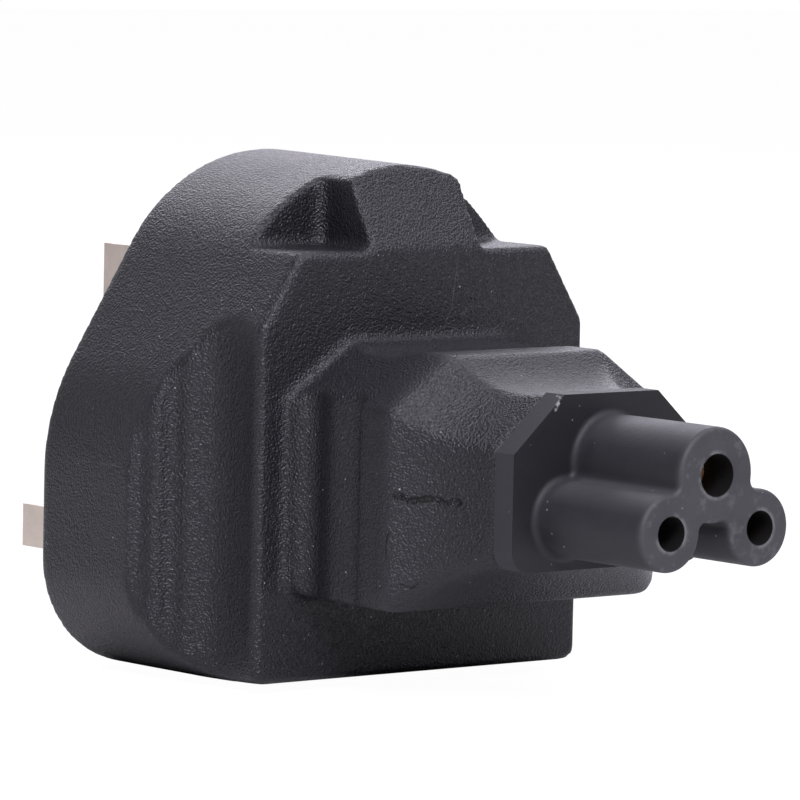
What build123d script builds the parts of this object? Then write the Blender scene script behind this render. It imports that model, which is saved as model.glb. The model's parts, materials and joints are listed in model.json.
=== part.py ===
"""Plug adapter: a three pin British plug moulded in one with a cloverleaf socket.

X runs across the plug, +Y points at the wall, +Z is up, with the earth pin on top.
The underside of the rim lies on Z = 0, and the length from the nose to the tip of
the earth pin is centred on Y = 0. All sizes are in millimetres.
"""

from build123d import *
from math import atan2, cos, hypot, radians, sin, tan
import os

os.makedirs("parts", exist_ok=True)

# Moulded body
body_half_width = 24.6
body_height = 47.4
body_depth = 25.3
body_draft = 1.3
crown_radius = 17.9
shoulder_angle = 58.0
shoulder_radius = 20.0
bottom_corner_radius = 10.4
contact_edge_radius = 0.8
front_edge_radius = 0.7
underside_rise = 0.8
underside_trim = 0.1
rim_depth = 13.1

# Finger scoop in each flank, with two flutes along its slope
grip_half_width = 19.2
grip_hollow = 0.8
grip_sweep = 0.1
scoop_run = 5.2
flute_start = 1.4
flute_pitch = 2.9
flute_width = 1.3
flute_depth = 0.3
flute_crest = 0.1

# Pockets on both sides of the hump
pocket_floor = 39.4
pocket_depth = 7.6
pocket_radius = 1.0
hump_half_width = 6.3
hump_lean = 29.0

# Stepped block in front of the body
block_half_width = 15.6
block_bottom = 8.6
block_side_top = 26.4
block_top = 31.1
block_top_half_width = 8.8
block_length = 14.2
block_waist = 1.2
block_saddle = 0.7
lip_length = 4.3
block_corner_radius = 1.6
block_land = 1.1
lip_edge_radius = 0.8
root_radius = 0.8

# Neck between the block and the nose, with a section behind its lip
neck_length = 9.1
neck_collar = 2.4
neck_half_width = 13.5
neck_bottom = 10.7
neck_side_top = 24.9
neck_top = 29.2
neck_top_half_width = 7.5
neck_mouth = 0.15

# Nose insert
flange_half_width = 11.0
flange_bottom = 13.1
flange_top = 28.5
flange_chamfer_width = 5.6
flange_chamfer_height = 5.0
flange_foot_radius = 2.0
flange_proud = 2.5
barrel_length = 14.0
barrel_edge_radius = 0.5
barrel_root_radius = 0.6
barrel_web_radius = 0.8
barrel_radius = 3.39
earth_barrel_radius = 4.17
contact_pitch = 10.16
contact_height = 17.7
earth_contact_rise = 4.8
entry_radius = 1.5
earth_entry_radius = 1.85
entry_length = 3.8
insert_tail_length = 5.2
insert_tail_inset = 1.8
rear_cap_thickness = 1.5

# Socket contacts
contact_radius = 1.9
contact_bore_radius = 1.2
earth_contact_radius = 2.4
earth_contact_bore_radius = 1.5
contact_web = 1.6
contact_slit = 0.5
contact_slit_length = 8.0
crimp_radius = 1.5
crimp_length = 4.6

# Plug pins
pin_height = 10.9
pin_spacing = 22.2
earth_pin_rise = 22.2
pin_width = 6.35
pin_thickness = 4.0
pin_length = 18.2
earth_pin_width = 4.0
earth_pin_thickness = 8.0
earth_pin_length = 22.7
pin_tip_chamfer = 1.1
pin_crimp_length = 5.0
sleeve_length = 9.5
sleeve_wall = 0.5
sleeve_root = 1.5

# Pin carrier
carrier_inset = 3.4
carrier_plate = 3.0
carrier_core_inset = 5.5
carrier_depth = 12.5

# Fuse, its chamber, its cover and its clips
fuse_height = 21.3
fuse_length = 25.4
fuse_axis_depth = 5.6
fuse_cap_radius = 3.18
fuse_cap_length = 6.0
fuse_cap_wall = 0.4
fuse_bore_radius = 1.9
fuse_element_radius = 0.2
clip_width = 4.4
clip_thickness = 0.5
clip_mouth = 4.6
chamber_end_gap = 1.9
chamber_half_height = 4.6
cover_thickness = 2.0
cover_leg_depth = 4.6
cover_leg_thickness = 0.9
cover_leg_width = 5.0
cover_notch_width = 4.0
cover_notch_depth = 0.9
cover_notch_height = 1.1

# Wires
wire_radius = 1.3
core_radius = 0.6
wire_lead = 2.5
wire_bend_radius = 5.0
core_reach = 2.5
wire_strip = 0.4

# Fits
moulded_fit = 0.1
slide_fit = 0.15

# Places that follow from the sizes
scoop_drop = body_half_width - grip_half_width - grip_sweep
nose_length = block_length + neck_length + flange_proud + barrel_length
contact_y = (body_depth + nose_length - earth_pin_length) / 2
rim_front_y = contact_y - rim_depth
front_y = contact_y - body_depth
pocket_back_y = front_y + pocket_depth
waist_start_y = front_y - block_land
lip_front_y = front_y - block_length
lip_back_y = lip_front_y + lip_length
neck_front_y = lip_front_y - neck_length
flange_front_y = neck_front_y - flange_proud
nose_tip_y = flange_front_y - barrel_length
tail_back_y = neck_front_y + insert_tail_length
cap_back_y = tail_back_y + rear_cap_thickness
contact_mouth_y = nose_tip_y + entry_length
nose_crimp_y = tail_back_y + crimp_length
live_x = pin_spacing / 2
earth_pin_height = pin_height + earth_pin_rise
live_contact_x = contact_pitch / 2
earth_contact_height = contact_height + earth_contact_rise
clip_radius = fuse_cap_radius + moulded_fit
clip_x = (fuse_length - fuse_cap_length) / 2
chamber_half_length = fuse_length / 2 + chamber_end_gap
fuse_y = contact_y - fuse_axis_depth
shank_back_y = fuse_y - clip_radius
chamber_floor_y = shank_back_y - clip_thickness
carrier_back_y = contact_y - carrier_depth
pin_crimp_y = shank_back_y - pin_crimp_length
clip_crimp_y = chamber_floor_y - pin_crimp_length
cover_back_y = contact_y - cover_thickness
toward_nose = (0, -1, 0)
toward_wall = (0, 1, 0)
contact_places = {
    "live": (live_contact_x, contact_height),
    "neutral": (-live_contact_x, contact_height),
    "earth": (0, earth_contact_height),
}
wire_starts = {
    "live": (-clip_x, clip_crimp_y, fuse_height),
    "neutral": (-live_x, pin_crimp_y, pin_height),
    "earth": (0, pin_crimp_y, earth_pin_height),
}


def in_barrels(edge):
    """Whether an edge lies within the cloverleaf rather than on the flange's rim."""
    return abs(edge.center().X) < live_contact_x + barrel_radius


def off_hump(edge):
    """Whether an edge of the front face is any but the one under the hump."""
    middle = edge.center()
    return abs(middle.X) > hump_half_width or middle.Z < pocket_floor - front_edge_radius


def round_block(edge):
    """Whether an edge of the front face runs round the foot of the block."""
    middle = edge.center()
    inside = abs(middle.X) < block_half_width + moulded_fit
    return inside and block_bottom - moulded_fit < middle.Z < block_top + moulded_fit


def across(y):
    """Plane across the plug at y, with X to the right and Z up, facing the nose."""
    return Plane.XZ.offset(-y)


def body_outline(y, inset=0.0):
    """Outline of the moulded body at y, moved inwards by inset."""
    lean = radians(shoulder_angle)
    narrowing = (contact_y - y) * tan(radians(body_draft))
    half_width = body_half_width - narrowing
    apex = body_height - narrowing + crown_radius * (1 / cos(lean) - 1)
    elbow = apex - half_width * tan(lean)
    with BuildSketch(across(y)) as outline:
        with BuildLine():
            Polyline(
                (-half_width, 0),
                (half_width, 0),
                (half_width, elbow),
                (0, apex),
                (-half_width, elbow),
                close=True,
            )
        make_face()
        fillet(outline.vertices().group_by(Axis.Y)[-1], crown_radius)
        fillet(outline.vertices().group_by(Axis.Y)[-2], shoulder_radius)
        fillet(outline.vertices().group_by(Axis.Y)[0], bottom_corner_radius)
        if inset:
            offset(amount=-inset, kind=Kind.INTERSECTION, mode=Mode.REPLACE)
    return outline.sketch


def block_outline(y, half_width, bottom, side_top, top, top_half_width):
    """Outline of the front block or of a section of the neck at y."""
    with BuildSketch(across(y)) as outline:
        with BuildLine():
            Polyline(
                (-half_width, bottom),
                (half_width, bottom),
                (half_width, side_top),
                (top_half_width, top),
                (-top_half_width, top),
                (-half_width, side_top),
                close=True,
            )
        make_face()
        fillet(outline.vertices().group_by(Axis.Y)[0], block_corner_radius)
    return outline.sketch


def slope_point(along, depth):
    """Point on the scoop's slope, along from the rim's edge and sunk below it by depth."""
    lean = atan2(scoop_run, scoop_drop)
    return (
        body_half_width - along * cos(lean) - depth * sin(lean),
        rim_front_y - along * sin(lean) + depth * cos(lean),
    )


# Finger scoop: what is cut from the right flank and its mirror, as seen from above
with BuildSketch(Plane.XY) as scoop_plan:
    with BuildLine():
        second_flute = flute_start + flute_pitch
        slope_length = hypot(scoop_drop, scoop_run)
        Spline(
            (body_half_width, rim_front_y),
            slope_point(flute_start, flute_depth),
            slope_point(flute_start + flute_width, -flute_crest),
            slope_point(second_flute, flute_depth),
            slope_point(second_flute + flute_width, 0),
            slope_point(slope_length, 0),
            (grip_half_width - grip_hollow, (rim_front_y - scoop_run + front_y) / 2),
            (grip_half_width, front_y),
        )
        Polyline(
            (grip_half_width, front_y),
            (grip_half_width, front_y - 1),
            (body_half_width + 1, front_y - 1),
            (body_half_width + 1, rim_front_y),
            (body_half_width, rim_front_y),
        )
    make_face()
    mirror(about=Plane.YZ)

# Pockets beside the hump, each with a rounded back corner
with BuildPart() as top_pockets:
    with BuildSketch(Plane.XY.offset(pocket_floor)):
        with Locations((hump_half_width, pocket_back_y)):
            Rectangle(body_half_width, pocket_depth + 2, align=(Align.MIN, Align.MAX))
    extrude(amount=body_height - pocket_floor + 1)
    back_corner = top_pockets.edges().filter_by(Axis.Z).sort_by(Axis.X)[:2].sort_by(Axis.Y)[-1]
    fillet(back_corner, pocket_radius)
    mirror(about=Plane.YZ)

# Front block: its outline across the plug, cut to a waisted plan and a hollow top
with BuildPart() as front_block:
    extrude(
        block_outline(front_y + 1, block_half_width, block_bottom, block_side_top,
                      block_top, block_top_half_width),
        amount=block_length + 1,
        dir=toward_nose,
    )
    with BuildSketch(Plane.XY) as waist_plan:
        with BuildLine():
            Spline(
                (block_half_width, waist_start_y),
                (block_half_width - block_waist, waist_start_y - 1.6),
                (block_half_width - 0.6 * block_waist, (waist_start_y + lip_back_y) / 2),
                (block_half_width - block_waist, lip_back_y + 0.8),
                (block_half_width, lip_back_y),
            )
            Polyline(
                (block_half_width, lip_back_y),
                (body_half_width, lip_back_y),
                (body_half_width, waist_start_y),
                (block_half_width, waist_start_y),
            )
        make_face()
        mirror(about=Plane.YZ)
    extrude(amount=body_height, mode=Mode.SUBTRACT)
    with BuildSketch(Plane.YZ) as saddle_side:
        with BuildLine():
            ThreePointArc(
                (lip_back_y, block_top),
                ((waist_start_y + lip_back_y) / 2, block_top - block_saddle),
                (waist_start_y, block_top),
            )
            Polyline(
                (waist_start_y, block_top),
                (waist_start_y, block_top + 1),
                (lip_back_y, block_top + 1),
                (lip_back_y, block_top),
            )
        make_face()
    extrude(amount=block_half_width, both=True, mode=Mode.SUBTRACT)

# Neck: funnels in from the block's lip to the nose flange
with BuildPart() as neck:
    add(block_outline(lip_front_y, block_half_width, block_bottom, block_side_top,
                      block_top, block_top_half_width))
    add(block_outline(lip_front_y - neck_collar, neck_half_width, neck_bottom, neck_side_top,
                      neck_top, neck_top_half_width))
    add(block_outline(neck_front_y, flange_half_width - neck_mouth, flange_bottom + neck_mouth,
                      flange_top - flange_chamfer_height, flange_top - neck_mouth,
                      flange_half_width - flange_chamfer_width))
    loft()


def contact_circles(y, radius, earth_radius):
    """A circle on each contact's axis, the earth contact's with a radius of its own."""
    with BuildSketch(across(y)) as outline:
        for name, place in contact_places.items():
            with Locations(place):
                Circle(earth_radius if name == "earth" else radius)
    return outline.sketch


def cloverleaf(y):
    """The three barrels' outline, with the notches between them rounded."""
    with BuildSketch(across(y)) as outline:
        for name, place in contact_places.items():
            with Locations(place):
                Circle(earth_barrel_radius if name == "earth" else barrel_radius)
        offset(amount=barrel_web_radius, kind=Kind.ARC, mode=Mode.REPLACE)
        offset(amount=-barrel_web_radius, kind=Kind.ARC, mode=Mode.REPLACE)
    return outline.sketch


def flange_outline(y, margin=0.0):
    """Octagonal outline of the nose flange at y, grown by margin."""
    with BuildSketch(across(y)) as outline:
        with BuildLine():
            Polyline(
                (-flange_half_width, flange_bottom),
                (flange_half_width, flange_bottom),
                (flange_half_width, flange_top - flange_chamfer_height),
                (flange_half_width - flange_chamfer_width, flange_top),
                (flange_chamfer_width - flange_half_width, flange_top),
                (-flange_half_width, flange_top - flange_chamfer_height),
                close=True,
            )
        make_face()
        fillet(outline.vertices().group_by(Axis.Y)[0], flange_foot_radius)
        if margin:
            offset(amount=margin, kind=Kind.INTERSECTION, mode=Mode.REPLACE)
    return outline.sketch


def tail_outline(y, margin=0.0):
    """Outline of the insert's tail and of its rear cap: the flange's, drawn in."""
    return flange_outline(y, margin - insert_tail_inset)


# Nose insert: octagonal flange, three joined barrels and the tail inside the neck
with BuildPart() as c5_insert:
    extrude(flange_outline(neck_front_y), amount=flange_proud, dir=toward_nose)
    extrude(cloverleaf(flange_front_y), amount=barrel_length, dir=toward_nose)
    barrel_root = c5_insert.edges().filter_by_position(Axis.Y, flange_front_y, flange_front_y)
    barrel_root = barrel_root.filter_by(GeomType.CIRCLE)
    fillet(barrel_root.filter_by(in_barrels), barrel_root_radius)
    fillet(c5_insert.edges().filter_by_position(Axis.Y, nose_tip_y, nose_tip_y), barrel_edge_radius)
    extrude(tail_outline(tail_back_y), amount=insert_tail_length, dir=toward_nose)
    extrude(
        contact_circles(nose_tip_y, entry_radius, earth_entry_radius),
        amount=entry_length,
        dir=toward_wall,
        mode=Mode.SUBTRACT,
    )
    extrude(
        contact_circles(tail_back_y, contact_radius + moulded_fit, earth_contact_radius + moulded_fit),
        amount=tail_back_y - contact_mouth_y,
        dir=toward_nose,
        mode=Mode.SUBTRACT,
    )
    c5_insert.part.label = "c5_insert"

# Cap that closes the insert behind the contacts and lets their crimps through
with BuildPart() as insert_rear_cap:
    extrude(tail_outline(cap_back_y), amount=rear_cap_thickness, dir=toward_nose)
    extrude(
        contact_circles(cap_back_y, crimp_radius + moulded_fit, crimp_radius + moulded_fit),
        amount=rear_cap_thickness,
        dir=toward_nose,
        mode=Mode.SUBTRACT,
    )
    insert_rear_cap.part.label = "insert_rear_cap"


def socket_contact(name, radius, bore_radius):
    """Brass tube for one pin of the other plug, slit at its mouth, with a crimp behind."""
    place = contact_places[name]
    with BuildPart() as contact:
        with BuildSketch(across(tail_back_y)):
            with Locations(place):
                Circle(radius)
        extrude(amount=tail_back_y - contact_mouth_y)
        with BuildSketch(across(contact_mouth_y)):
            with Locations(place):
                Circle(bore_radius)
        extrude(amount=contact_mouth_y + contact_web - tail_back_y, mode=Mode.SUBTRACT)
        with BuildSketch(across(contact_mouth_y)):
            with Locations(place):
                Rectangle(contact_slit, 3 * radius)
        extrude(amount=-contact_slit_length, mode=Mode.SUBTRACT)
        with BuildSketch(across(tail_back_y)):
            with Locations(place):
                Circle(crimp_radius)
        extrude(amount=-crimp_length)
        with BuildSketch(across(nose_crimp_y)):
            with Locations(place):
                Circle(core_radius + moulded_fit)
        extrude(amount=crimp_length, mode=Mode.SUBTRACT)
        contact.part.label = name + "_socket"
    return contact


live_socket = socket_contact("live", contact_radius, contact_bore_radius)
neutral_socket = socket_contact("neutral", contact_radius, contact_bore_radius)
earth_socket = socket_contact("earth", earth_contact_radius, earth_contact_bore_radius)


def sleeve_space(x):
    """What the insulating sleeve of the pin at x takes up round the thinned pin."""
    with BuildPart() as space:
        with BuildSketch(across(contact_y + sleeve_length)):
            with Locations((x, pin_height)):
                Rectangle(pin_width, pin_thickness)
                Rectangle(pin_width - 2 * sleeve_wall, pin_thickness - 2 * sleeve_wall,
                          mode=Mode.SUBTRACT)
        extrude(amount=sleeve_length + sleeve_root)
    return space


def plug_pin(name, x, z, width, thickness, length):
    """Flat brass pin with a chamfered tip; its shank ends inside the carrier."""
    tip_y = contact_y + length
    with BuildPart() as pin:
        with BuildSketch(across(tip_y)):
            with Locations((x, z)):
                Rectangle(width, thickness)
        extrude(amount=tip_y - shank_back_y)
        chamfer(pin.edges().filter_by_position(Axis.Y, tip_y, tip_y), pin_tip_chamfer)
        if name != "earth":
            add(sleeve_space(x).part, mode=Mode.SUBTRACT)
        if name != "live":
            with BuildSketch(across(shank_back_y)):
                with Locations((x, z)):
                    Circle(crimp_radius)
            extrude(amount=pin_crimp_length)
            with BuildSketch(across(pin_crimp_y)):
                with Locations((x, z)):
                    Circle(core_radius + moulded_fit)
            extrude(amount=-pin_crimp_length, mode=Mode.SUBTRACT)
        pin.part.label = name + "_pin"
    return pin


live_pin = plug_pin("live", live_x, pin_height, pin_width, pin_thickness, pin_length)
neutral_pin = plug_pin("neutral", -live_x, pin_height, pin_width, pin_thickness, pin_length)
earth_pin = plug_pin("earth", 0, earth_pin_height, earth_pin_width, earth_pin_thickness, earth_pin_length)
live_pin_sleeve = sleeve_space(live_x)
live_pin_sleeve.part.label = "live_pin_sleeve"
neutral_pin_sleeve = sleeve_space(-live_x)
neutral_pin_sleeve.part.label = "neutral_pin_sleeve"

# Pin carrier: face plate and core, with slots for the pins and the chamber for the fuse
with BuildPart() as pin_carrier:
    extrude(body_outline(contact_y, carrier_inset), amount=carrier_plate, dir=toward_nose)
    extrude(body_outline(contact_y, carrier_core_inset), amount=carrier_depth, dir=toward_nose)
    with BuildSketch(across(contact_y)):
        with Locations((live_x, pin_height), (-live_x, pin_height)):
            Rectangle(pin_width + 2 * slide_fit, pin_thickness + 2 * slide_fit)
        with Locations((0, earth_pin_height)):
            Rectangle(earth_pin_width + 2 * slide_fit, earth_pin_thickness + 2 * slide_fit)
    extrude(amount=contact_y - shank_back_y, mode=Mode.SUBTRACT)
    with BuildSketch(across(contact_y)):
        with Locations((0, fuse_height)):
            Rectangle(2 * chamber_half_length, 2 * chamber_half_height)
    extrude(amount=contact_y - chamber_floor_y, mode=Mode.SUBTRACT)
    with BuildSketch(across(carrier_back_y)):
        with Locations((clip_x, (pin_height - pin_thickness / 2 + fuse_height) / 2)):
            Rectangle(clip_width + 2 * slide_fit,
                      fuse_height - pin_height + pin_thickness / 2 + 2 * slide_fit)
    extrude(amount=carrier_back_y - shank_back_y, mode=Mode.SUBTRACT)
    with BuildSketch(across(carrier_back_y)):
        for x, y, z in wire_starts.values():
            with Locations((x, z)):
                Circle(crimp_radius + moulded_fit)
    extrude(amount=carrier_back_y - shank_back_y, mode=Mode.SUBTRACT)
    pin_carrier.part.label = "pin_carrier"

# Fuse cover: plate flush with the pin face, with a leg past each end of the fuse
with BuildPart() as fuse_cover:
    cover_half_length = chamber_half_length - slide_fit
    cover_half_height = chamber_half_height - slide_fit
    with BuildSketch(across(contact_y)):
        with Locations((0, fuse_height)):
            Rectangle(2 * cover_half_length, 2 * cover_half_height)
    extrude(amount=cover_thickness)
    with BuildSketch(across(cover_back_y)):
        with Locations((cover_half_length - cover_leg_thickness / 2, fuse_height),
                       (cover_leg_thickness / 2 - cover_half_length, fuse_height)):
            Rectangle(cover_leg_thickness, cover_leg_width)
    extrude(amount=cover_leg_depth)
    with BuildSketch(across(contact_y)):
        with Locations((0, fuse_height - cover_half_height)):
            Rectangle(cover_notch_width, 2 * cover_notch_height)
    extrude(amount=cover_notch_depth, mode=Mode.SUBTRACT)
    fuse_cover.part.label = "fuse_cover"

# Fuse: ceramic tube, sand round a fine wire, and a cap on each end
tube_half_length = fuse_length / 2 - fuse_cap_wall
tube_radius = fuse_cap_radius - fuse_cap_wall - moulded_fit


def fuse_circle(x, radius):
    """A circle round the fuse's axis, across it at x."""
    with BuildSketch(Plane.YZ.offset(x)) as section:
        with Locations((fuse_y, fuse_height)):
            Circle(radius)
    return section.sketch


with BuildPart() as fuse_tube:
    extrude(fuse_circle(-tube_half_length, tube_radius), amount=2 * tube_half_length, dir=(1, 0, 0))
    extrude(
        fuse_circle(-tube_half_length, fuse_bore_radius),
        amount=2 * tube_half_length,
        dir=(1, 0, 0),
        mode=Mode.SUBTRACT,
    )
    fuse_tube.part.label = "fuse_tube"

with BuildPart() as fuse_filler:
    extrude(
        fuse_circle(-tube_half_length, fuse_bore_radius - moulded_fit),
        amount=2 * tube_half_length,
        dir=(1, 0, 0),
    )
    extrude(
        fuse_circle(-tube_half_length, fuse_element_radius + moulded_fit),
        amount=2 * tube_half_length,
        dir=(1, 0, 0),
        mode=Mode.SUBTRACT,
    )
    fuse_filler.part.label = "fuse_filler"

with BuildPart() as fuse_element:
    extrude(
        fuse_circle(-tube_half_length, fuse_element_radius),
        amount=2 * tube_half_length,
        dir=(1, 0, 0),
    )
    fuse_element.part.label = "fuse_element"


def fuse_cap(side, label):
    """Cup over one end of the fuse; side is 1 towards +X and -1 towards -X."""
    with BuildPart() as cap:
        extrude(
            fuse_circle(side * fuse_length / 2, fuse_cap_radius),
            amount=fuse_cap_length,
            dir=(-side, 0, 0),
        )
        extrude(
            fuse_circle(side * tube_half_length, fuse_cap_radius - fuse_cap_wall),
            amount=fuse_cap_length,
            dir=(-side, 0, 0),
            mode=Mode.SUBTRACT,
        )
        cap.part.label = label
    return cap


fuse_cap_supply = fuse_cap(1, "fuse_cap_supply")
fuse_cap_load = fuse_cap(-1, "fuse_cap_load")


def fuse_clip(x):
    """Spring clip round the fuse cap at x, open towards the cover."""
    with BuildPart() as clip:
        with BuildSketch(Plane.YZ.offset(x - clip_width / 2)):
            with Locations((fuse_y, fuse_height)):
                Circle(clip_radius + clip_thickness)
                Circle(clip_radius, mode=Mode.SUBTRACT)
                Rectangle(
                    clip_radius + clip_thickness,
                    clip_mouth,
                    align=(Align.MIN, Align.CENTER),
                    mode=Mode.SUBTRACT,
                )
        extrude(amount=clip_width)
    return clip


# Supply clip: its strap runs down behind the live pin
with BuildPart() as fuse_clip_supply:
    add(fuse_clip(clip_x).part)
    with BuildSketch(across(shank_back_y)):
        with Locations((clip_x, fuse_height)):
            Rectangle(clip_width, fuse_height - pin_height + pin_thickness / 2,
                      align=(Align.CENTER, Align.MAX))
    extrude(amount=clip_thickness)
    fuse_clip_supply.part.label = "fuse_clip_supply"

# Load clip: a crimp behind it holds the live wire
with BuildPart() as fuse_clip_load:
    add(fuse_clip(-clip_x).part)
    with BuildSketch(across(chamber_floor_y + clip_thickness / 2)):
        with Locations((-clip_x, fuse_height)):
            Circle(crimp_radius)
    extrude(amount=clip_thickness / 2 + pin_crimp_length)
    with BuildSketch(across(clip_crimp_y)):
        with Locations((-clip_x, fuse_height)):
            Circle(core_radius + moulded_fit)
    extrude(amount=-pin_crimp_length, mode=Mode.SUBTRACT)
    fuse_clip_load.part.label = "fuse_clip_load"


def wire_run(name, radius, reach):
    """Round bar along the wire's way between its crimps, reaching into or short of them."""
    x, start_y, z = wire_starts[name]
    nose_x, nose_z = contact_places[name]
    with BuildPart() as run:
        with BuildLine() as way:
            FilletPolyline(
                (x, start_y + reach, z),
                (x, start_y - wire_lead, z),
                (nose_x, nose_crimp_y + wire_lead, nose_z),
                (nose_x, nose_crimp_y - reach, nose_z),
                radius=wire_bend_radius,
            )
        with BuildSketch(across(start_y + reach)):
            with Locations((x, z)):
                Circle(radius)
        sweep(path=way.wire())
    return run


def wire_core(name):
    """Stranded copper core, its bared ends inside the two crimps."""
    core = wire_run(name, core_radius, core_reach)
    core.part.label = name + "_wire_core"
    return core


def wire_insulation(name):
    """Insulation round a core, stripped back just short of the two crimps."""
    with BuildPart() as jacket:
        add(wire_run(name, wire_radius, -wire_strip).part)
        add(wire_run(name, core_radius + moulded_fit, core_reach).part, mode=Mode.SUBTRACT)
        jacket.part.label = name + "_wire_insulation"
    return jacket


live_wire_core = wire_core("live")
neutral_wire_core = wire_core("neutral")
earth_wire_core = wire_core("earth")
live_wire_insulation = wire_insulation("live")
neutral_wire_insulation = wire_insulation("neutral")
earth_wire_insulation = wire_insulation("earth")

# Moulded body, first its outside
with BuildPart() as moulded_body:
    add(Pos(0, 0, -underside_trim) * body_outline(contact_y))
    add(Pos(0, 0, -underside_trim) * body_outline(front_y))
    loft()
    fillet(moulded_body.edges().filter_by_position(Axis.Y, contact_y, contact_y), contact_edge_radius)
    extrude(scoop_plan.sketch, amount=body_height, dir=(0, 0, 1), mode=Mode.SUBTRACT)
    add(top_pockets.part, mode=Mode.SUBTRACT)
    with BuildSketch(Plane.YZ) as hump_front:
        hump_rise = body_height + 1 - pocket_floor
        with BuildLine():
            Polyline(
                (front_y - 1, pocket_floor),
                (front_y, pocket_floor),
                (front_y + hump_rise * tan(radians(hump_lean)), body_height + 1),
                (front_y - 1, body_height + 1),
                close=True,
            )
        make_face()
    extrude(amount=hump_half_width, both=True, mode=Mode.SUBTRACT)
    with BuildSketch(Plane.YZ) as underside:
        with BuildLine():
            Polyline(
                (contact_y + 1, 0),
                (rim_front_y, 0),
                (front_y, underside_rise),
                (front_y - 1, underside_rise),
                (front_y - 1, -1),
                (contact_y + 1, -1),
                close=True,
            )
        make_face()
    extrude(amount=body_half_width, both=True, mode=Mode.SUBTRACT)
    front_edges = moulded_body.edges().filter_by_position(Axis.Y, front_y, front_y)
    fillet(front_edges.filter_by(off_hump), front_edge_radius)
    add(front_block.part)
    root_edges = moulded_body.edges().filter_by_position(Axis.Y, front_y, front_y)
    fillet(root_edges.filter_by(round_block), root_radius)
    add(neck.part)
    lip_edges = moulded_body.edges().filter_by_position(Axis.Y, lip_front_y, lip_front_y)
    fillet(lip_edges, lip_edge_radius)
    extrude(
        body_outline(contact_y, carrier_inset - moulded_fit),
        amount=carrier_plate,
        dir=toward_nose,
        mode=Mode.SUBTRACT,
    )
    extrude(
        body_outline(contact_y, carrier_core_inset - moulded_fit),
        amount=carrier_depth,
        dir=toward_nose,
        mode=Mode.SUBTRACT,
    )
    extrude(
        tail_outline(neck_front_y, moulded_fit),
        amount=cap_back_y - neck_front_y,
        dir=toward_wall,
        mode=Mode.SUBTRACT,
    )
    for name, (x, start_y, z) in wire_starts.items():
        add(wire_run(name, wire_radius + moulded_fit, 0).part, mode=Mode.SUBTRACT)
        with BuildSketch(across(start_y)):
            with Locations((x, z)):
                Circle(crimp_radius + moulded_fit)
        extrude(amount=start_y - carrier_back_y - 1, mode=Mode.SUBTRACT)
        with BuildSketch(across(nose_crimp_y)):
            with Locations(contact_places[name]):
                Circle(crimp_radius + moulded_fit)
        extrude(amount=nose_crimp_y - cap_back_y + 1, mode=Mode.SUBTRACT)
    moulded_body.part.label = "moulded_body"

export_step(moulded_body.part, "parts/moulded_body.step")
export_step(c5_insert.part, "parts/c5_insert.step")
export_step(insert_rear_cap.part, "parts/insert_rear_cap.step")
export_step(live_socket.part, "parts/live_socket.step")
export_step(neutral_socket.part, "parts/neutral_socket.step")
export_step(earth_socket.part, "parts/earth_socket.step")
export_step(pin_carrier.part, "parts/pin_carrier.step")
export_step(earth_pin.part, "parts/earth_pin.step")
export_step(live_pin.part, "parts/live_pin.step")
export_step(neutral_pin.part, "parts/neutral_pin.step")
export_step(live_pin_sleeve.part, "parts/live_pin_sleeve.step")
export_step(neutral_pin_sleeve.part, "parts/neutral_pin_sleeve.step")
export_step(fuse_cover.part, "parts/fuse_cover.step")
export_step(fuse_tube.part, "parts/fuse_tube.step")
export_step(fuse_filler.part, "parts/fuse_filler.step")
export_step(fuse_element.part, "parts/fuse_element.step")
export_step(fuse_cap_supply.part, "parts/fuse_cap_supply.step")
export_step(fuse_cap_load.part, "parts/fuse_cap_load.step")
export_step(fuse_clip_supply.part, "parts/fuse_clip_supply.step")
export_step(fuse_clip_load.part, "parts/fuse_clip_load.step")
export_step(live_wire_core.part, "parts/live_wire_core.step")
export_step(live_wire_insulation.part, "parts/live_wire_insulation.step")
export_step(neutral_wire_core.part, "parts/neutral_wire_core.step")
export_step(neutral_wire_insulation.part, "parts/neutral_wire_insulation.step")
export_step(earth_wire_core.part, "parts/earth_wire_core.step")
export_step(earth_wire_insulation.part, "parts/earth_wire_insulation.step")
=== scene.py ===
"""Looks, camera and light for the plug adapter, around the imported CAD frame.

Blender works in metres. Values named in mm are turned into metres with MM.
"""
import json
import math

import bpy
from mathutils import Matrix, Vector


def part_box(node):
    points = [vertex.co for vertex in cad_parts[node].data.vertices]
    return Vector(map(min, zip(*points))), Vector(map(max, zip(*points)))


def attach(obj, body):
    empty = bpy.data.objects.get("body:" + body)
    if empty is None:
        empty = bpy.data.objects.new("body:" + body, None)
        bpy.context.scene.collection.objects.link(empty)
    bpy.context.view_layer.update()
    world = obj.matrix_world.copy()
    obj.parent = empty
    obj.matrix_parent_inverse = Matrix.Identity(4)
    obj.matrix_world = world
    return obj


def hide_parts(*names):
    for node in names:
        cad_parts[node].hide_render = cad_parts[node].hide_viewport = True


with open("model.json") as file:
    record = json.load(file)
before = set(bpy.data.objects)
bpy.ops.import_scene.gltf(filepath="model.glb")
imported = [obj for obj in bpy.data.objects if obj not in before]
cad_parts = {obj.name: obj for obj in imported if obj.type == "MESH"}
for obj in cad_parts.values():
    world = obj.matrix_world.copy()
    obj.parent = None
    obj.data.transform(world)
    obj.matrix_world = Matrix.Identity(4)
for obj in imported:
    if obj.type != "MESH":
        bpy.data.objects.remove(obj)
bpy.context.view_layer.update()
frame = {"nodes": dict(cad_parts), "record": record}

nodes = frame["nodes"]
scene = bpy.context.scene
MM = 0.001
WHITE = (1.0, 1.0, 1.0, 1.0)

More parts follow.
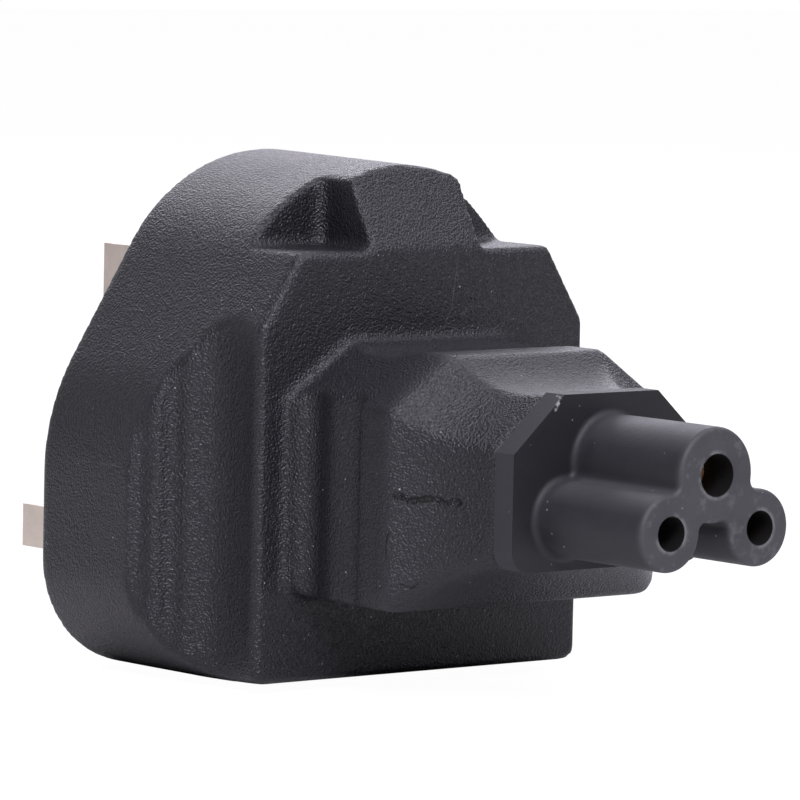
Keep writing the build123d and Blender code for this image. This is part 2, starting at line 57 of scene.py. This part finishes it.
# Camera, solved from the photograph: degrees, pixels of the photograph, mm
YAW, PITCH, ROLL = 39.0, 5.08, 1.25
FOCAL_PIXELS, PHOTO_PIXELS = 6000.0, 800.0
SENSOR_WIDTH = 36.0
DISTANCE = 563.39
TARGET = (0.0, 20.7, 26.0)
TARGET_RIGHT, TARGET_UP = 13.36, -2.07
CLIP_START, CLIP_END = 10.0 * MM, 20000.0 * MM


def photo_camera():
    """The camera that took the photograph: far away, on a long lens."""
    yaw, pitch, roll = math.radians(YAW), math.radians(PITCH), math.radians(ROLL)
    forward = Vector((
        math.sin(yaw) * math.cos(pitch),
        math.cos(yaw) * math.cos(pitch),
        -math.sin(pitch),
    ))
    level_right = Vector((math.cos(yaw), -math.sin(yaw), 0.0))
    level_up = level_right.cross(forward)
    right = level_right * math.cos(roll) + level_up * math.sin(roll)
    up = -level_right * math.sin(roll) + level_up * math.cos(roll)
    target = Vector(TARGET) + level_right * TARGET_RIGHT + level_up * TARGET_UP
    place = (target - forward * DISTANCE) * MM
    data = bpy.data.cameras.new("photo_camera")
    data.lens = FOCAL_PIXELS / PHOTO_PIXELS * SENSOR_WIDTH
    data.sensor_width = SENSOR_WIDTH
    data.clip_start = CLIP_START
    data.clip_end = CLIP_END
    camera = bpy.data.objects.new("photo_camera", data)
    scene.collection.objects.link(camera)
    turn = Matrix((right, up, -forward)).transposed().to_4x4()
    camera.matrix_world = Matrix.Translation(place) @ turn
    scene.camera = camera


# Materials
class Net:
    """A material's node tree, with short ways to add nodes and join them."""

    def __init__(self, name):
        self.material = bpy.data.materials.new(name)
        self.material.use_nodes = True
        self.tree = self.material.node_tree
        self.tree.nodes.clear()
        self.out = self.add("ShaderNodeOutputMaterial")
        self.bsdf = self.add("ShaderNodeBsdfPrincipled")
        self.put(self.out.inputs[0], self.bsdf.outputs[0])
        places = self.add("ShaderNodeTexCoord")
        self.coord = places.outputs["Object"]
        self.normal = places.outputs["Normal"]

    def add(self, kind):
        return self.tree.nodes.new(kind)

    def put(self, socket, value):
        """Link a socket to another one, or give it a constant."""
        if isinstance(value, bpy.types.NodeSocket):
            self.tree.links.new(value, socket)
        else:
            socket.default_value = value

    def set(self, name, value):
        self.put(self.bsdf.inputs[name], value)

    def math(self, operation, a, b=0.0, c=0.0):
        node = self.add("ShaderNodeMath")
        node.operation = operation
        for socket, value in zip(node.inputs, (a, b, c)):
            self.put(socket, value)
        return node.outputs[0]

    def times(self, a, b):
        return self.math("MULTIPLY", a, b)

    def either(self, a, b):
        return self.math("MAXIMUM", a, b)

    def vector(self, operation, a, b=(0.0, 0.0, 0.0), scale=None):
        node = self.add("ShaderNodeVectorMath")
        node.operation = operation
        self.put(node.inputs[0], a)
        self.put(node.inputs[1], b)
        if scale is not None:
            self.put(node.inputs["Scale"], scale)
        return node.outputs["Value" if operation in ("DOT_PRODUCT", "DISTANCE") else "Vector"]

    def noise(self, scale, detail=2.0, rough=0.5, vector=None, output=0):
        node = self.add("ShaderNodeTexNoise")
        node.inputs["Scale"].default_value = scale
        node.inputs["Detail"].default_value = detail
        node.inputs["Roughness"].default_value = rough
        self.put(node.inputs["Vector"], vector or self.coord)
        return node.outputs[output]

    def ramp(self, value, low, high, out_low=0.0, out_high=1.0):
        """Map low..high to out_low..out_high and stop at both ends."""
        node = self.add("ShaderNodeMapRange")
        for socket, item in zip(node.inputs, (value, low, high, out_low, out_high)):
            self.put(socket, item)
        return node.outputs[0]

    def axes(self):
        node = self.add("ShaderNodeSeparateXYZ")
        self.put(node.inputs[0], self.coord)
        return node.outputs

    def red(self, color):
        node = self.add("ShaderNodeSeparateColor")
        self.put(node.inputs[0], color)
        return node.outputs[0]

    def mix(self, share, a, b):
        node = self.add("ShaderNodeMix")
        node.data_type = "RGBA"
        for name, value in (("Factor", share), ("A", a), ("B", b)):
            self.put(node.inputs[name], value)
        return node.outputs["Result"]

    def layers(self, base, *coats):
        """Lay colours over the base one by one, each with its own share."""
        for share, color in coats:
            base = self.mix(share, base, (*color, 1.0))
        self.set("Base Color", base)

    def bump(self, height, strength, distance, normal=None):
        node = self.add("ShaderNodeBump")
        node.inputs["Strength"].default_value = strength
        node.inputs["Distance"].default_value = distance
        self.put(node.inputs["Height"], height)
        if normal:
            self.put(node.inputs["Normal"], normal)
        return node.outputs[0]


def specks(net, scale, size, share):
    """1 on sparse round dust specks and 0 elsewhere."""
    cells = net.add("ShaderNodeTexVoronoi")
    cells.inputs["Scale"].default_value = scale
    cells.inputs["Randomness"].default_value = 1.0
    net.put(cells.inputs["Vector"], net.coord)
    chosen = net.math("GREATER_THAN", net.red(cells.outputs["Color"]), 1.0 - share)
    near = net.ramp(cells.outputs["Distance"], size, 0.4 * size)
    return net.times(chosen, near)


UNBROKEN = (0.0, 0.1)


def marks(net, lines, width, waver, broken=(0.30, 0.48)):
    """1 along the given lines of the surface and 0 elsewhere.

    Each line is a list of points in mm; width and waver are in mm too.
    Noise interrupts a line, fully below the first value of broken and
    not at all above the second.
    """
    shake = net.vector("SUBTRACT", net.noise(700.0, output="Color"), (0.5, 0.5, 0.5))
    place = net.vector("ADD", net.coord, net.vector("SCALE", shake, scale=2 * waver * MM))
    found = 0.0
    for points in lines:
        for start, end in zip(points, points[1:]):
            start, end = Vector(start) * MM, Vector(end) * MM
            run = end - start
            reach = net.vector("DOT_PRODUCT", net.vector("SUBTRACT", place, start), run)
            along = net.ramp(reach, 0.0, run.length_squared)
            foot = net.vector("ADD", net.vector("SCALE", tuple(run), scale=along), start)
            gap = net.vector("DISTANCE", place, foot)
            found = net.either(found, net.ramp(gap, 0.5 * width * MM, 0.2 * width * MM))
    return net.times(found, net.ramp(net.noise(1600.0, 2.0, 0.6), *broken))


# Slope of the finger scoops, in mm: it starts at the rim's front edge and
# runs inward and forward along SLOPE
RIM_HALF_WIDTH, RIM_FRONT_Y = 24.6, 8.1
SLOPE = (0.714, 0.701)
FIRST_CREST, FLUTE_PITCH = 2.75, 2.9


def flutes(net):
    """Height of the flutes' crests and valleys on both slopes, 0 off the slopes."""
    place = net.axes()
    inward = net.math("SUBTRACT", RIM_HALF_WIDTH * MM, net.math("ABSOLUTE", place["X"]))
    forward = net.math("SUBTRACT", RIM_FRONT_Y * MM, place["Y"])
    down = net.math("MULTIPLY_ADD", inward, SLOPE[0], net.times(forward, SLOPE[1]))
    off = net.math("SUBTRACT", net.times(inward, SLOPE[1]), net.times(forward, SLOPE[0]))
    on_slope = net.ramp(net.math("ABSOLUTE", off), 0.9 * MM, 0.5 * MM)
    begun = net.ramp(down, 0.3 * MM, 0.9 * MM)
    not_over = net.ramp(down, 6.9 * MM, 6.3 * MM)
    from_crest = net.math("SUBTRACT", down, FIRST_CREST * MM)
    turn = net.times(from_crest, math.tau / (FLUTE_PITCH * MM))
    return net.times(net.math("COSINE", turn), net.times(on_slope, net.times(begun, not_over)))


# Damage and seams of the moulded body, in mm
GASH = [(-15.0, -18.9, 19.1), (-14.3, -19.8, 18.7), (-13.3, -21.1, 18.9), (-12.0, -23.6, 18.8)]
CUTS = [
    [(-15.4, -18.4, 15.8), (-15.5, -18.1, 14.6), (-15.5, -18.2, 13.5)],
    [(-14.5, -19.3, 11.3), (-14.0, -19.8, 10.95), (-13.6, -20.3, 11.4)],
]
SCRATCH = [(-9.1, -22.0, 11.5), (-8.4, -21.5, 11.0)]
WELD_LINE = [(3.55, -4.1, 38.4), (2.9, -4.1, 34.0), (2.05, -4.1, 32.2)]
PARTING_LINE = [(-24.6, 21.0, 19.6), (-24.3, 9.3, 19.5)]
FLUTE_BUMP, GRAIN_BUMP, CUT_BUMP = 0.06 * MM, 0.075 * MM, 0.4 * MM


def body_material():
    """Black overmould: leathery grain, pale dust, seams, and a gash and small cuts dented and
    painted dark as their shade.
    """
    net = Net("body_plastic_look")
    grain = net.ramp(net.noise(4800.0, 1.0, 0.5), 0.3, 0.7)
    clumps = net.noise(2100.0, 2.0, 0.5)
    patches = net.noise(90.0, 3.0, 0.6)
    # The gash and the cuts: dented by a bump, and painted near black inside as their shade
    gash_sunk_and_shaded = net.either(
        marks(net, [GASH], 0.75, 0.22, (0.36, 0.5)),
        marks(net, [GASH], 0.22, 0.15, UNBROKEN),
    )
    cuts_sunk_and_shaded = net.either(gash_sunk_and_shaded, marks(net, CUTS, 0.2, 0.15))
    scratch = marks(net, [SCRATCH], 0.14, 0.02, UNBROKEN)
    seams = marks(net, [WELD_LINE, PARTING_LINE], 0.14, 0.04, (0.35, 0.5))
    dust = net.either(specks(net, 420.0, 0.045, 0.5), specks(net, 900.0, 0.07, 0.24))
    net.layers(
        (0.0095, 0.0092, 0.0118, 1.0),
        (net.ramp(patches, 0.35, 0.7), (0.0125, 0.0122, 0.0150)),
        (net.times(seams, 0.8), (0.06, 0.06, 0.062)),
        (net.either(dust, scratch), (0.42, 0.42, 0.42)),
        # Painted shade: the gash and the cuts are coloured near black inside
        (cuts_sunk_and_shaded, (0.002, 0.002, 0.002)),
    )
    net.set("Roughness", net.ramp(patches, 0.3, 0.7, 0.31, 0.41))
    height = net.math("ADD", grain, net.times(clumps, 1.1))
    normal = net.bump(flutes(net), 1.0, FLUTE_BUMP)
    normal = net.bump(height, 1.0, GRAIN_BUMP, normal)
    net.set("Normal", net.bump(net.times(cuts_sunk_and_shaded, -1.0), 1.0, CUT_BUMP, normal))
    return net.material


# Nose moulding, in mm: length of the barrels in front of the flange, places
# (x, z) and radii of the three bore mouths, chips on the flange's corner
BARREL_LENGTH = 14.0
BORE_MOUTHS = [(0.0, 22.5, 1.85), (-5.08, 17.7, 1.5), (5.08, 17.7, 1.5)]
CHIPS = [[(-5.8, -29.8, 28.2), (-5.7, -29.3, 28.3)], [(-6.0, -29.9, 27.9), (-6.3, -29.9, 27.3)]]


def insert_material():
    """Nose moulding: smooth, worn on its tips and edges, with painted shade on the flange's
    face and in the bores and a painted highlight on up-facing surfaces.
    """
    tip_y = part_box("c5_insert")[0][1]
    flange_y = tip_y + BARREL_LENGTH * MM
    net = Net("insert_look")
    along = net.axes()["Y"]
    grain = net.noise(2600.0, 2.0, 0.5)
    patches = net.noise(330.0, 4.0, 0.6)
    facing = net.vector("DOT_PRODUCT", net.normal, (0.0, -1.0, 0.0))
    painted_top_highlight = net.vector("DOT_PRODUCT", net.normal, (0.0, 0.0, 1.0))
    on_flange = net.ramp(along, flange_y - 1.6 * MM, flange_y - 0.2 * MM)
    off_flange = net.math("SUBTRACT", 1.0, on_flange)
    near_tip = net.ramp(along, tip_y + 0.9 * MM, tip_y + 0.1 * MM)
    scuffs = net.times(net.ramp(net.noise(620.0, 5.0, 0.7), 0.56, 0.66), near_tip)
    dust = net.either(specks(net, 520.0, 0.06, 0.6), specks(net, 1100.0, 0.07, 0.2))
    flat = net.vector("MULTIPLY", net.coord, (1.0, 0.0, 1.0))
    bore_painted_shade, rims = 0.0, 0.0
    for x, z, radius in BORE_MOUTHS:
        gap = net.vector("DISTANCE", flat, (x * MM, 0.0, z * MM))
        bore_painted_shade = net.either(bore_painted_shade, net.ramp(gap, (radius + 0.08) * MM, radius * MM))
        rims = net.either(rims, net.ramp(gap, (radius + 0.42) * MM, (radius + 0.12) * MM))
    rims = net.times(rims, net.times(near_tip, net.ramp(patches, 0.52, 0.6)))
    net.layers(
        (0.017, 0.0165, 0.0195, 1.0),
        (net.ramp(patches, 0.35, 0.75), (0.025, 0.0245, 0.028)),
        # Painted highlight: surfaces away from the flange are lighter the more they face up
        (net.times(off_flange, net.ramp(painted_top_highlight, 0.45, 0.95, 0.0, 0.7)), (0.062, 0.061, 0.066)),
        # Painted shade: the flange's front face and the barrels' roots beside it are darker the
        # more they face the front
        (net.times(on_flange, net.ramp(facing, 0.3, 0.9)), (0.0075, 0.0073, 0.0090)),
        # Lighter where the faces next to the flange don't face the front
        (net.times(on_flange, net.ramp(facing, 0.5, 0.0)), (0.030, 0.030, 0.034)),
        (net.times(near_tip, net.ramp(patches, 0.2, 0.7, 0.45, 1.0)), (0.052, 0.052, 0.057)),
        (net.times(scuffs, 0.4), (0.13, 0.13, 0.135)),
        (net.times(rims, 0.6), (0.2, 0.2, 0.2)),
        # Painted shade: the bores are coloured near black inside
        (bore_painted_shade, (0.002, 0.002, 0.002)),
        (dust, (0.30, 0.30, 0.31)),
        (marks(net, CHIPS, 0.45, 0.4, (0.42, 0.55)), (0.42, 0.41, 0.40)),
    )
    net.set("Roughness", net.ramp(patches, 0.3, 0.7, 0.54, 0.64))
    net.set("Normal", net.bump(net.math("ADD", grain, patches), 0.6, 0.03 * MM))
    return net.material


def shaded(color, factor):
    return (*(min(1.0, channel * factor) for channel in color), 1.0)


def plain_material(name, color, roughness, metallic=0.0, grain=0.01, stain=0.15):
    """One stuff all over, with its own grain (in mm) and uneven colour and gloss."""
    net = Net(name)
    patches = net.noise(260.0, 4.0, 0.6)
    darker, paler = shaded(color, 1.0 - stain), shaded(color, 1.0 + stain)
    net.set("Base Color", net.mix(net.ramp(patches, 0.3, 0.7), darker, paler))
    net.set("Metallic", metallic)
    net.set("Roughness", net.ramp(patches, 0.3, 0.7, roughness - 0.05, roughness + 0.05))
    net.set("Normal", net.bump(net.noise(3200.0, 3.0, 0.6), 0.5, grain * MM))
    return net.material


DRAW_STRETCH = (1.0, 0.04, 1.0)


def drawn_metal(name, color, roughness):
    """Rolled or drawn metal: fine scratches along the plug and a few duller patches."""
    net = Net(name)
    stretch = net.add("ShaderNodeMapping")
    net.put(stretch.inputs["Vector"], net.coord)
    stretch.inputs["Scale"].default_value = DRAW_STRETCH
    scratches = net.noise(5000.0, 3.0, 0.6, stretch.outputs["Vector"])
    patches = net.noise(240.0, 4.0, 0.6)
    duller, cleaner = shaded(color, 0.86), shaded(color, 1.05)
    net.set("Base Color", net.mix(net.ramp(patches, 0.35, 0.7), duller, cleaner))
    net.set("Metallic", 1.0)
    uneven = net.math("ADD", scratches, patches)
    net.set("Roughness", net.ramp(uneven, 0.7, 1.3, roughness - 0.06, roughness + 0.08))
    net.set("Normal", net.bump(scratches, 0.4, 0.01 * MM))
    return net.material


looks = {
    "body_plastic": body_material(),
    "insert_plastic": insert_material(),
    "carrier_plastic": plain_material("carrier_look", (0.016, 0.0155, 0.018), 0.45, grain=0.03),
    "cover_plastic": plain_material("cover_look", (0.022, 0.0215, 0.024), 0.42, grain=0.02),
    "sleeve_plastic": plain_material("sleeve_look", (0.016, 0.016, 0.017), 0.35),
    "pin_metal": drawn_metal("pin_look", (0.80, 0.705, 0.60), 0.42),
    "contact_metal": plain_material("contact_look", (1.0, 0.50, 0.22), 0.45, 0.35),
    "clip_metal": drawn_metal("clip_look", (0.70, 0.55, 0.30), 0.35),
    "cap_metal": drawn_metal("cap_look", (0.66, 0.64, 0.60), 0.3),
    "fuse_ceramic": plain_material("ceramic_look", (0.78, 0.76, 0.70), 0.6, stain=0.05),
    "fuse_sand": plain_material("sand_look", (0.55, 0.50, 0.42), 0.9, grain=0.08, stain=0.3),
    "element_metal": drawn_metal("element_look", (0.75, 0.74, 0.72), 0.3),
    "core_copper": drawn_metal("core_look", (0.72, 0.36, 0.2), 0.35),
    "live_insulation": plain_material("live_look", (0.16, 0.07, 0.03), 0.5),
    "neutral_insulation": plain_material("neutral_look", (0.05, 0.16, 0.42), 0.5),
    "earth_insulation": plain_material("earth_look", (0.20, 0.42, 0.08), 0.5),
}
for row in frame["record"]["subparts"]:
    for slot in nodes[row["node"]].material_slots:
        slot.material = looks[row["material_slot"]]


def softened(name, voxel, passes):
    """A copy of a CAD solid with every edge softened as a mould leaves it."""
    source = nodes[name]
    mesh = source.data.copy()
    mesh.transform(source.matrix_world)
    piece = bpy.data.objects.new(name + "_shell", mesh)
    scene.collection.objects.link(piece)
    remesh = piece.modifiers.new("even", "REMESH")
    remesh.mode = "VOXEL"
    remesh.voxel_size = voxel
    remesh.use_smooth_shade = True
    smooth = piece.modifiers.new("soft", "SMOOTH")
    smooth.factor = 0.5
    smooth.iterations = passes
    depsgraph = bpy.context.evaluated_depsgraph_get()
    baked = bpy.data.meshes.new_from_object(piece.evaluated_get(depsgraph))
    piece.modifiers.clear()
    piece.data = baked
    baked.materials.clear()
    return piece


body = softened("moulded_body", 0.45 * MM, 2)
body.data.materials.append(looks["body_plastic"])
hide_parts("moulded_body")
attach(body, "root")

# Floor and light: sides and heights in m, power in W
FLOOR_SIDE, FLOOR_DROP = 4.0, 0.0002
FLOOR_GREY = (0.86, 0.86, 0.86, 1.0)
FLOOR_GLOW, GLOW_SHARE = 1.11, 0.88
LAMP_COLOR = (1.0, 0.975, 1.085)
LAMP_AIM = (0.0, 0.0, 0.02)
LAMPS = (
    # name, place, power, side
    ("above", (0.0, 0.0, 0.8), 1.35, 0.4),
    ("above_front", (0.0, -0.5, 0.6), 1.5, 0.3),
    ("above_right", (0.5, 0.0, 0.6), 1.2, 0.45),
    ("front_left", (-0.35, -0.45, 0.5), 3.9, 0.28),
    ("back", (0.0, 0.8, 0.35), 0.2, 0.45),
    ("back_right", (0.6, 0.5, 0.4), 1.2, 0.4),
    ("back_high", (0.3, 0.7, 0.5), 1.8, 0.4),
)
BACKGROUNDS = (
    # ray, color, strength; the first is for every ray that no other row names
    (None, WHITE, 0.02),
    ("Is Glossy Ray", (0.97, 0.95, 1.06, 1.0), 0.33),
    ("Is Transmission Ray", WHITE, 1.0),
    ("Is Camera Ray", WHITE, 1.0),
)


def floor():
    """Plain floor, nearly white to the eye, that keeps the object's shadow."""
    bpy.ops.mesh.primitive_plane_add(size=FLOOR_SIDE, location=(0.0, 0.0, -FLOOR_DROP))
    plane = bpy.context.object
    plane.name = "floor"
    net = Net("floor_look")
    net.set("Base Color", FLOOR_GREY)
    net.set("Roughness", 0.7)
    path = net.add("ShaderNodeLightPath")
    pale = net.add("ShaderNodeEmission")
    pale.inputs["Color"].default_value = WHITE
    pale.inputs["Strength"].default_value = FLOOR_GLOW
    join = net.add("ShaderNodeMixShader")
    net.put(join.inputs[0], net.times(path.outputs["Is Camera Ray"], GLOW_SHARE))
    net.put(join.inputs[1], net.bsdf.outputs[0])
    net.put(join.inputs[2], pale.outputs[0])
    net.put(net.out.inputs[0], join.outputs[0])
    plane.data.materials.append(net.material)


def area_light(name, place, power, side):
    """A square soft lamp that looks at the object."""
    data = bpy.data.lights.new(name, "AREA")
    data.shape = "RECTANGLE"
    data.size, data.size_y = side, side
    data.energy = power
    data.color = LAMP_COLOR
    lamp = bpy.data.objects.new(name, data)
    scene.collection.objects.link(lamp)
    lamp.location = place
    view = Vector(LAMP_AIM) - Vector(place)
    lamp.rotation_euler = view.to_track_quat("-Z", "Y").to_euler()


def surroundings():
    """White to the eye, grey in reflections, and almost no light of its own."""
    world = bpy.data.worlds.new("studio")
    scene.world = world
    world.use_nodes = True
    tree = world.node_tree
    tree.nodes.clear()
    out = tree.nodes.new("ShaderNodeOutputWorld")
    path = tree.nodes.new("ShaderNodeLightPath").outputs
    shown = None
    for ray, color, strength in BACKGROUNDS:
        pane = tree.nodes.new("ShaderNodeBackground")
        pane.inputs["Color"].default_value = color
        pane.inputs["Strength"].default_value = strength
        if ray:
            join = tree.nodes.new("ShaderNodeMixShader")
            tree.links.new(path[ray], join.inputs[0])
            tree.links.new(shown, join.inputs[1])
            tree.links.new(pane.outputs[0], join.inputs[2])
            shown = join.outputs[0]
        else:
            shown = pane.outputs[0]
    tree.links.new(shown, out.inputs[0])


photo_camera()
floor()
surroundings()
for name, place, power, side in LAMPS:
    area_light(name, place, power, side)
scene.view_settings.view_transform = "Standard"
